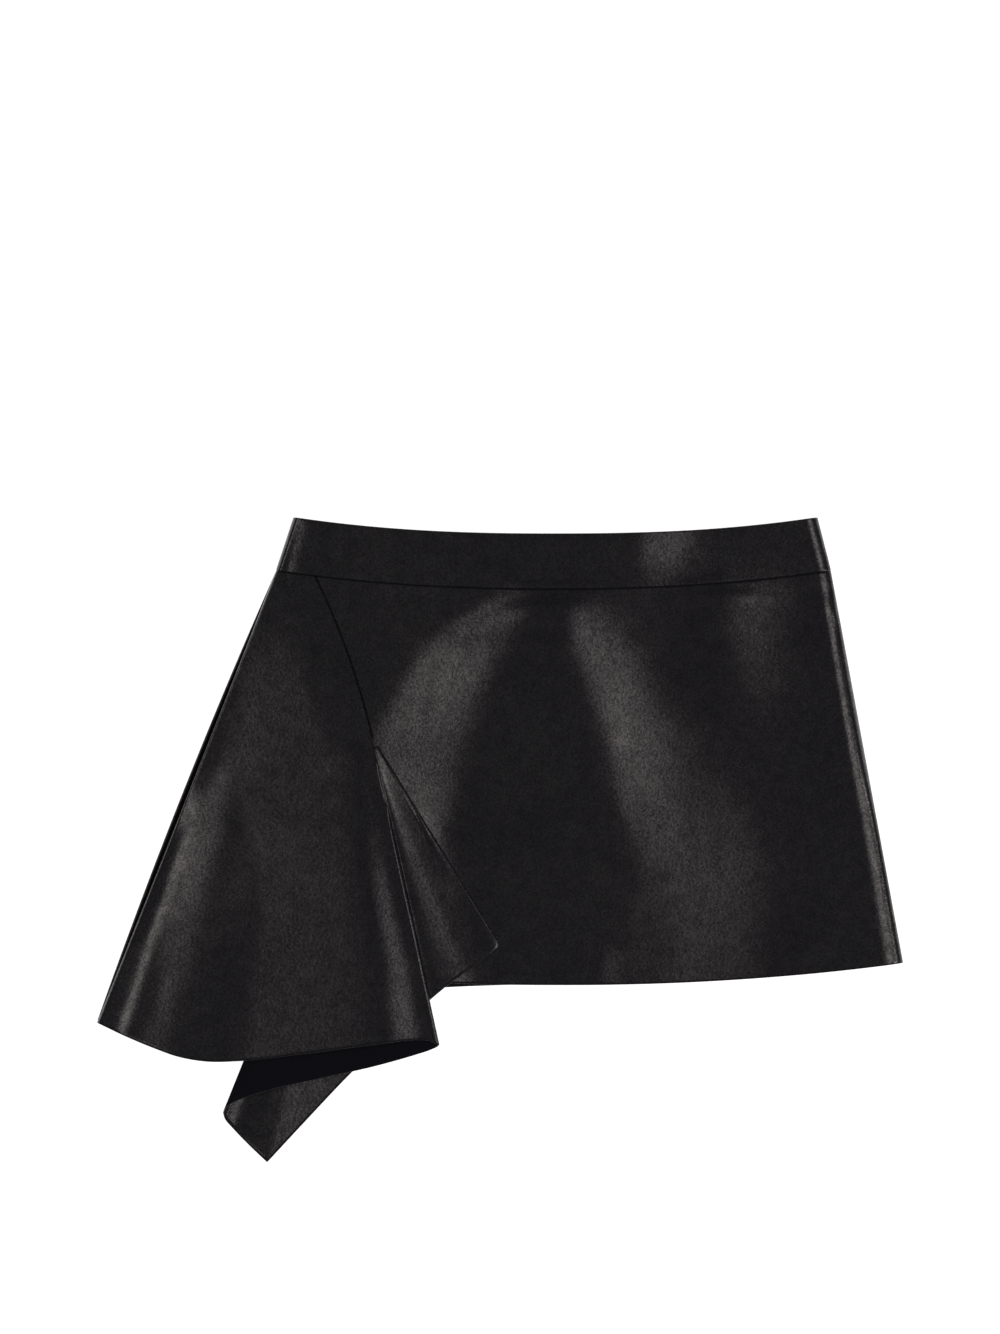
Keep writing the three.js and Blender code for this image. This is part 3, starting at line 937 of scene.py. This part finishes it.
@dataclass(frozen=True)
class HemPoint:
    """A point of the flounce's hem.

    Attributes:
        x: Its place across.
        y: Its place up.
        z: Its height above the table.
        root_z: Height of the same line of leather at the pivot.
        on_front: How far the leather there lies on the front.
    """

    x: float
    y: float
    z: float
    root_z: float
    on_front: float = 0.0


@dataclass
class Flounce:
    """One piece of leather that hangs from the hip in four layers, folded like a fan.

    Attributes:
        shape: The forms that the pieces share.
        leather: Thickness of the hide.
        hip_roll: Width of the roll at the left edge, at the top and at the hem.
        seam_share: How far down the top layer its seam ends, as a share.
        seam_hold: How far from the seam the top layer is held at the front's height.
        hold_share: How far out from the pivot that hold fades, as a share.
        fold_roll: Width of the roll at the right fold, at the pivot and at the hem.
        fold_lift: How far the right fold stands above a straight line.
        pivot_rise: How far out from the pivot the fold reaches its height, as a share.
        lobe_start: Where the lobe's layers begin, as a share of the way out from the pivot.
        under_start: Where the layer under the right fold begins, as a share of that way.
        right_fold: Where the top layer turns under.
        left_fold: Where the layer under it turns again.
        hip_level: Height of the top layer, by y.
        relief: Its slopes.
        hem: Its hem in plan, from the left corner to the right fold.
        under: The hem of the layer under it, from the right fold to the left one.
        corner_layer: The hem from the left fold to the pointed corner.
        lobe: The hem from that corner to the lobe's right end.
        back_under: The hem from there back under the lobe.
        clear: Least height of a layer's middle over that of the front.
        soft_clear: How softly a layer is pushed up to that height.
        front_half: Half the thickness of the front's leather.
        lift_reach: How far left of the right fold its lift is felt.
        over_width: How wide the step onto the front is.
        doubled_x: Where the lobe's last layer begins to lie under it.
        doubled_width: How wide the step onto that layer is.
        doubled_share: How far out from the pivot it is at its full height, as a share.
        fine_edge: How wide the finely divided strip at the seam is.
        across: How many points there are across the top layer.
        seam_length: Length of a panel, which turns the seam's steps into shares.
        seam_rows: How many rows the top layer has along its seam.
        fan_rows: How many rows there are before the lobe, before the under layer and beyond.
        per_point: How many steps there are between two points of the hem.
    """

    shape: SkirtShape
    leather: float = 1.0
    hip_roll: tuple[float, float] = (1.0, 2.0)
    seam_share: float = 0.358
    seam_hold: float = 40.0
    hold_share: float = 0.16
    fold_roll: tuple[float, float] = (1.8, 2.2)
    fold_lift: float = 1.4
    pivot_rise: float = 0.12
    lobe_start: float = 0.03
    under_start: float = 0.3
    right_fold: HemPoint = HemPoint(-44.3, -148.3, 17.2, 13.6)
    left_fold: HemPoint = HemPoint(-200.9, -198.4, 6.0, 9.3)
    hip_level: tuple[tuple[float, float], ...] = (
        (186.0, 11.0), (152.7, 8.4), (138.0, 7.7), (109.0, 7.2), (80.0, 6.9), (51.0, 6.6),
        (22.0, 5.9), (-7.0, 5.3), (-36.0, 5.2), (-65.0, 5.6), (-94.0, 6.2), (-150.0, 7.0),
    )
    relief: tuple[SoftFold | Slope, ...] = (
        Slope((
            Station(101.0, -202.0, -192.0, 0.0),
            Station(65.0, -212.0, -202.0, 0.0),
            Station(43.6, -225.0, -213.0, 0.3),
            Station(21.8, -234.0, -221.0, 2.8),
            Station(0.0, -243.0, -229.0, 5.6),
            Station(-21.8, -252.0, -236.5, 6.6),
            Station(-43.6, -260.0, -244.0, 7.1),
            Station(-76.0, -273.0, -254.5, 7.6),
            Station(-109.0, -285.0, -264.5, 8.2),
            Station(-150.0, -300.0, -279.0, 8.4),
        ), 1.0, 2.2),
        Slope((
            Station(130.0, -196.0, -176.0, 0.0),
            Station(101.0, -202.0, -180.0, 0.6),
            Station(65.0, -203.0, -186.0, 1.1),
            Station(43.6, -210.0, -193.0, 1.9),
            Station(21.8, -219.0, -199.0, 2.5),
            Station(0.0, -227.0, -205.0, 2.9),
            Station(-21.8, -235.0, -211.0, 2.8),
            Station(-43.6, -243.0, -216.0, 2.7),
            Station(-76.0, -247.0, -220.0, 2.1),
            Station(-109.0, -248.0, -231.0, 1.6),
            Station(-150.0, -262.0, -246.0, 1.2),
        ), 2.5, 4.5),
        Slope((
            Station(43.6, -101.8, -93.8, -0.6),
            Station(0.0, -97.4, -84.3, -1.6),
            Station(-43.6, -92.3, -77.0, -2.5),
            Station(-65.4, -88.0, -72.0, -2.7),
            Station(-87.0, -84.6, -66.0, -2.9),
            Station(-123.6, -82.0, -60.3, -3.5),
            Station(-148.0, -79.0, -56.0, -3.6),
        ), 2.5, 2.5),
        Slope((
            Station(21.8, -200.0, -176.0, 0.0),
            Station(-7.3, -200.0, -176.0, 0.9),
            Station(-36.4, -208.0, -180.0, 1.3),
            Station(-65.4, -216.0, -184.0, 0.6),
            Station(-94.5, -226.0, -187.0, 0.2),
            Station(-150.0, -234.0, -192.0, -0.4),
        ), 8.0, 3.0),
        Slope((
            Station(184.0, -164.0, -140.0, 0.0),
            Station(170.0, -164.0, -140.0, 0.2),
            Station(152.7, -173.0, -142.0, 1.1),
            Station(138.1, -182.0, -138.0, 2.3),
            Station(109.0, -189.0, -127.0, 3.8),
            Station(80.0, -187.0, -116.0, 4.5),
            Station(50.9, -189.0, -109.0, 5.2),
            Station(21.8, -190.0, -105.0, 5.6),
            Station(-7.3, -178.0, -104.0, 5.0),
            Station(-36.4, -176.0, -102.0, 4.9),
            Station(-65.4, -176.0, -100.0, 5.0),
            Station(-94.5, -180.0, -98.0, 5.4),
            Station(-123.6, -184.0, -96.0, 5.8),
            Station(-150.0, -187.0, -93.0, 6.0),
        ), 3.0, 6.0),
    )
    hem: tuple[tuple[float, float], ...] = (
        (-292.5, -132.7), (-253.0, -149.8), (-232.6, -157.0), (-212.3, -160.3),
        (-189.0, -159.9), (-147.6, -155.3), (-84.3, -146.9), (-64.7, -144.7),
        (-52.3, -145.0), (-44.3, -148.3),
    )
    under: tuple[HemPoint, ...] = (
        HemPoint(-45.8, -149.6, 16.5, 13.0),
        HemPoint(-50.5, -151.8, 15.7, 12.4),
        HemPoint(-59.6, -154.9, 14.9, 11.8),
        HemPoint(-90.1, -163.6, 13.2, 11.0),
        HemPoint(-131.9, -173.0, 12.0, 10.2),
        HemPoint(-163.6, -180.0, 11.5, 10.1),
        HemPoint(-186.0, -187.0, 10.8, 9.8),
        HemPoint(-195.5, -191.4, 9.8, 9.7),
        HemPoint(-199.6, -195.0, 8.2, 9.5),
    )
    corner_layer: tuple[HemPoint, ...] = (
        HemPoint(-199.6, -203.0, 3.8, 9.0),
        HemPoint(-194.0, -209.8, 1.6, 9.2),
        HemPoint(-181.8, -222.5, 0.55, 9.5),
        HemPoint(-169.4, -234.3, 0.5, 9.8),
    )
    lobe: tuple[HemPoint, ...] = (
        HemPoint(-141.0, -203.6, 3.4, 10.2),
        HemPoint(-108.3, -169.0, 6.6, 10.5),
        HemPoint(-76.3, -138.1, 9.8, 10.6),
        HemPoint(-60.0, -123.7, 13.4, 12.0),
        HemPoint(-54.0, -118.4, 14.8, 13.0),
        HemPoint(-49.0, -114.0, 15.3, 14.2),
        HemPoint(-44.0, -109.8, 15.4, 14.2),
        HemPoint(-39.0, -105.6, 15.7, 14.3),
        HemPoint(-33.0, -100.9, 16.3, 14.5),
        HemPoint(-24.0, -94.3, 17.4, 14.6),
        HemPoint(-13.0, -86.6, 18.1, 14.8),
        HemPoint(-6.0, -81.2, 18.2, 14.9),
        HemPoint(-2.4, -77.6, 18.0, 14.0),
        HemPoint(-1.5, -74.9, 17.4, 13.6),
    )
    back_under: tuple[HemPoint, ...] = (
        HemPoint(-2.4, -73.2, 16.0, 7.0, 0.7),
        HemPoint(-9.0, -77.0, 16.0, 7.0, 1.0),
        HemPoint(-32.7, -88.7, 16.0, 7.0, 1.0),
        HemPoint(-66.2, -98.1, 16.0, 7.0, 1.0),
    )
    clear: float = 1.3
    soft_clear: float = 0.3
    front_half: float = 0.6
    lift_reach: float = 60.0
    over_width: float = 8.0
    doubled_x: float = -76.0
    doubled_width: float = 8.0
    doubled_share: float = 0.15
    fine_edge: float = 6.0
    across: int = 120
    seam_length: float = 320.0
    seam_rows: int = 60
    fan_rows: tuple[int, int, int] = (3, 20, 70)
    per_point: int = 6

    def _right_side(self, down: float) -> tuple[float, float]:
        """Give the right end of a row of the top layer: the seam, then the fold."""
        pivot = self.shape.pivot
        if down >= self.seam_share:
            out = (down - self.seam_share) / (1 - self.seam_share)
            return mix(pivot[0], self.right_fold.x, out), mix(pivot[1], self.right_fold.y, out)
        top_y = float(BAND_SEAM.at(self.shape.seam_start_x)) - SEAM_GAP / 2
        y = mix(top_y, pivot[1], down / self.seam_share)
        return float(self.shape.seam_x(y)) - self.shape.seam_open / 2, y

    def _top_plan(self, across: np.ndarray, down: float) -> tuple[np.ndarray, np.ndarray]:
        """Give points of the top layer in plan, in a patch between its four sides."""
        start_x = BAND_SEAM.middle_x - BAND_SEAM.half_width + self.leather / 2
        end_x = self._right_side(0.0)[0]

        def top(share: Any) -> np.ndarray:
            """Give points of the upper edge."""
            x = mix(start_x, end_x, share)
            return np.stack([x, BAND_SEAM.at(x) - SEAM_GAP / 2], -1)

        corner = np.array(self.shape.corner)
        fold = np.array([self.right_fold.x, self.right_fold.y])
        steps = np.linalg.norm(np.diff(np.array(self.hem), axis=0), axis=1)
        lengths = np.concatenate([[0.0], np.cumsum(steps)])
        hem = spline(lengths / lengths[-1], self.hem, across)
        left = mix(top(0.0), corner, down)
        right = np.array(self._right_side(down))
        u = across[:, None]
        corners = mix(mix(top(0.0), top(1.0), u), mix(corner, fold, u), down)
        points = mix(left, right, u) + mix(top(across), hem, down) - corners
        return points[:, 0], points[:, 1]

    def _sheet_height(self, x: Any, y: Any) -> Any:
        """Give the height of the top layer at points in plan, before its edges turn."""
        levels, heights = zip(*self.hip_level)
        level = spline([-place for place in levels], heights, -np.asarray(y, float))
        return level + relief(self.relief, x, y)

    def _lift(self, out: float) -> float:
        """Give how far the right fold stands above a straight line, out from the pivot."""
        return self.fold_lift * 4 * out * (1 - out)

    def _top_row(self, down: float) -> np.ndarray:
        """Give a row of the top layer, from the rolled left edge to the seam or the fold."""
        ends = self._top_plan(np.array([0.0, 1.0]), down)
        width = math.hypot(ends[0][1] - ends[0][0], ends[1][1] - ends[1][0])
        out = min(1.0, max(0.0, (down - self.seam_share) / (1 - self.seam_share)))
        hip_roll, fold_roll = mix(*self.hip_roll, down), mix(*self.fold_roll, out)
        places = rolled_places(width, hip_roll, max(fold_roll, self.fine_edge), self.across)
        x, y = self._top_plan(places / width, down)
        inwards = width - places
        edge_x, edge_y = self._right_side(down)
        if down < self.seam_share:
            edge_z = self.shape.front_height(self.shape.seam_x(edge_y), edge_y)
            hold = smooth(1 - inwards / self.seam_hold)
        else:
            seam_z = self.shape.front_height(*self.shape.pivot)
            edge_z = mix(self.right_fold.root_z, self.right_fold.z, out) + self._lift(out)
            edge_z = mix(seam_z, edge_z, smooth(out / self.pivot_rise))
            blend = smooth(out / self.hold_share)
            hold = mix(smooth(1 - inwards / self.seam_hold), 1 - rolled(inwards / fold_roll), blend)
        sheet = self._sheet_height(x, y)
        sheet = sheet + (edge_z - self._sheet_height(edge_x, edge_y)) * hold
        sheet = sheet - self.shape.sunk(BAND_SEAM.at(x) - y)
        z = mix(self.shape.side_seam_z, sheet, rolled(places / hip_roll))
        return np.stack([x, y, z], -1)

    @staticmethod
    def _steps(points: Sequence[HemPoint], per_point: int) -> np.ndarray:
        """Give steps along a stretch of the hem: x, y, z, root_z and on_front."""
        rows = np.array([[p.x, p.y, p.z, p.root_z, p.on_front] for p in points])
        lengths = np.concatenate([[0.0], np.cumsum(
            np.sqrt(np.linalg.norm(np.diff(rows[:, :3], axis=0), axis=1)))])
        at = np.interp(np.linspace(0, len(points) - 1, (len(points) - 1) * per_point + 1),
                       np.arange(len(points)), lengths)
        return spline(lengths, rows, at)

    def _fan_rows(self, out: float, under: np.ndarray, lower: np.ndarray) -> np.ndarray:
        """Give a row of the layers under the top one, out from the pivot."""
        pivot = self.shape.pivot
        rows = []
        for steps, start in ((under, self.under_start), (lower, self.lobe_start)):
            x, y = mix(pivot[0], steps[:, 0], out), mix(pivot[1], steps[:, 1], out)
            on_front = self.leather / 2 + self.front_half + SEAM_GAP
            lying = self.shape.front_height(x, y) + on_front
            z = mix(steps[:, 3], steps[:, 2], out)
            if start == self.under_start:
                near = (steps[:, 0] - self.right_fold.x) / self.lift_reach + 1.0
                z = z + self._lift(out) * smooth(near)
            over = smooth((x - self.shape.seam_x(y)) / self.over_width + 0.5)
            doubled = smooth((steps[:, 0] - self.doubled_x) / self.doubled_width)
            doubled = doubled * smooth(out / self.doubled_share)
            least = self.shape.front_height(x, y) + self.clear + (self.leather + SEAM_GAP) * doubled
            z = z + over * np.logaddexp(0.0, (least - z) / self.soft_clear) * self.soft_clear
            z = mix(z, lying, np.clip(steps[:, 4], 0.0, 1.0))
            row = np.stack([x, y, z], -1)
            rows.append(row if out >= start - 1e-9 else np.full_like(row, np.nan))
        return np.concatenate(rows)

    def build(self, hide: Hide) -> bpy.types.Object:
        """Build the whole flounce as one folded wall.

        Args:
            hide: The materials of its faces.

        Returns:
            The object.
        """
        under = self._steps([self.right_fold, *self.under, self.left_fold], self.per_point)[1:]
        corner = self._steps([self.left_fold, *self.corner_layer], self.per_point)[1:]
        lobe = self._steps([self.corner_layer[-1], *self.lobe], self.per_point)[1:]
        turned = self._steps([self.lobe[-1], *self.back_under], self.per_point)[1:]
        lower = np.concatenate([corner, lobe, turned])
        nothing = np.full((len(under) + len(lower), 3), np.nan)
        rows = []
        near = SEAM_STEPS / self.seam_length
        along = np.linspace(near[-1], self.seam_share, self.seam_rows, endpoint=False)[1:]
        for down in np.concatenate([near, along]):
            rows.append(np.concatenate([self._top_row(down), nothing]))
        outs = np.concatenate([
            np.linspace(0.0, self.lobe_start, self.fan_rows[0], endpoint=False),
            np.linspace(self.lobe_start, self.under_start, self.fan_rows[1], endpoint=False),
            np.linspace(self.under_start, 1.0, self.fan_rows[2]),
        ])
        for out in outs:
            down = mix(self.seam_share, 1.0, out)
            rows.append(np.concatenate([self._top_row(down), self._fan_rows(out, under, lower)]))
        grid = np.array(rows)
        sewn = np.zeros(grid.shape[:2], bool)
        sewn[0] = True
        seam_rows, seam_column = len(rows) - len(outs), len(self._top_row(0.0)) - 1
        sewn[:seam_rows, seam_column] = True
        # The narrow strip beside the seam takes the darker material: painted shade.
        folded = grid[:, seam_column, None, 0] - grid[..., 0] < self.shape.painted_shade_width
        folded[seam_rows:] = False
        folded[:, seam_column + 1:] = False
        return LeatherWall("flounce_leather", grid, self.leather, Rim.CUT, 0.4, (0,),
                           sewn=sewn, folded=folded).build(hide)


@dataclass(frozen=True)
class Softbox:
    """A rectangular softbox that looks at the middle of the skirt.

    Attributes:
        turn: Which side it stands on, in degrees from the top of the picture.
        tilt: How far it leans from straight above, in degrees.
        distance: How far off it is, in metres.
        size: Its size outwards and along, in metres.
        radiance: How bright its face is.
        colour: Colour of its light.
    """

    turn: float
    tilt: float
    distance: float
    size: tuple[float, float]
    radiance: float
    colour: tuple[float, float, float] = (1.0, 0.93, 0.9)

    def build(self) -> None:
        """Put the light in the scene."""
        data = bpy.data.lights.new("softbox", "AREA")
        data.shape = "RECTANGLE"
        data.size_y, data.size = self.size
        data.energy = self.radiance * math.pi * self.size[0] * self.size[1]
        data.color = self.colour
        box = bpy.data.objects.new("softbox", data)
        turn, tilt = math.radians(self.turn), math.radians(self.tilt)
        towards = Vector((math.sin(turn) * math.sin(tilt), math.cos(turn) * math.sin(tilt), math.cos(tilt)))
        box.location = towards * self.distance
        box.rotation_euler = towards.to_track_quat("Z", "Y").to_euler()
        bpy.context.scene.collection.objects.link(box)


@dataclass
class Studio:
    """The pale floor, the lights and the camera.

    Attributes:
        lens_mm: Focal length of the camera.
        view_mm: What the long side of the picture takes in, at the height of the skirt.
        view_y: The y that the middle of the picture looks at.
        skirt_z: Mean height of the skirt.
        floor_colour: Colour of the floor, a light table that leaves no shadows.
        floor_glow: How bright the table glows.
        sky: Strength of the even light from all round.
        sky_colour: Colour of that light.
        boxes: The softboxes.
    """

    lens_mm: float = 200.0
    view_mm: float = 969.8
    view_y: float = 125.8
    skirt_z: float = 4.0
    floor_colour: str = "#f4f4f4"
    floor_glow: float = 1.0
    sky: float = 0.06
    sky_colour: tuple[float, float, float] = (0.94, 0.92, 1.0)
    boxes: tuple[Softbox, ...] = (
        Softbox(-90.0, 28.0, 6.0, (2.45, 4.36), 2.0),
        Softbox(90.0, 28.0, 6.0, (2.45, 4.36), 2.0),
        Softbox(104.0, 54.0, 3.0, (0.5, 1.6), 6.0),
    )

    def camera(self) -> None:
        """Put the camera straight above, with the waist at the top of the picture."""
        data = bpy.data.cameras.new("camera")
        data.lens = self.lens_mm
        data.sensor_width = 36.0
        camera = bpy.data.objects.new("camera", data)
        distance = self.view_mm * self.lens_mm / 36.0 + self.skirt_z
        camera.location = (0.0, self.view_y * MM, distance * MM)
        data.clip_end = 50.0
        bpy.context.scene.collection.objects.link(camera)
        bpy.context.scene.camera = camera

    def floor(self) -> None:
        """Lay a plain pale floor under the skirt."""
        mesh = bpy.data.meshes.new("floor")
        far = 6.0
        mesh.from_pydata([(-far, -far, 0), (far, -far, 0), (far, far, 0), (-far, far, 0)], [], [(0, 1, 2, 3)])
        material, tree = new_material("matt white studio floor")
        shader = add_node(tree, "ShaderNodeBsdfPrincipled", values={
            "Base Color": linear(self.floor_colour), "Roughness": 0.9, "Specular IOR Level": 0.1,
            "Emission Color": linear(self.floor_colour), "Emission Strength": self.floor_glow,
        })
        add_node(tree, "ShaderNodeOutputMaterial", links={"Surface": shader.outputs[0]})
        mesh.materials.append(material)
        floor = bpy.data.objects.new("floor", mesh)
        bpy.context.scene.collection.objects.link(floor)

    def lights(self) -> None:
        """Set the softboxes and a dim even sky."""
        for box in self.boxes:
            box.build()
        world = bpy.data.worlds.new("dim even sky")
        world.use_nodes = True
        world.node_tree.nodes["Background"].inputs["Color"].default_value = (*self.sky_colour, 1.0)
        world.node_tree.nodes["Background"].inputs["Strength"].default_value = self.sky
        bpy.context.scene.world = world
        bpy.context.scene.view_settings.view_transform = "Standard"


def place_piece(piece: bpy.types.Object, node: str) -> None:
    """Make a piece stand for its CAD node and ride with the skirt.

    Args:
        piece: The dressed piece.
        node: The node that it replaces.
    """
    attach(piece, "root")
    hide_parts(node)
    LOG.info("%s: %d faces, stands for %s", piece.name, len(piece.data.polygons), node)


def main() -> None:
    """Build the skirt and the studio."""
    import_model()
    studio = Studio()
    studio.camera()
    studio.floor()
    studio.lights()
    # A darker, nearly glossless copy of the nappa for the strips beside the seams: painted shade.
    painted_seam_shade = NappaLeather(base="#0a0a0c", worn="#0c0c0e", gloss_low=0.02, gloss_high=0.08,
                             name="nappa leather in the shade of a seam")
    hide = Hide(NappaLeather().build(), SuedeSide().build(), CutEdge().build(), painted_seam_shade.build())
    shape = SkirtShape()
    band = Waistband(shape)
    panels = Panels(shape)
    pieces = {
        "waistband_front": band.front(hide),
        "waistband_back": band.back(hide),
        "front_panel": panels.front(hide),
        "back_panel": panels.back(hide),
        "flounce": Flounce(shape).build(hide),
    }
    for node, piece in pieces.items():
        place_piece(piece, node)


if __name__ == "__main__":
    main()
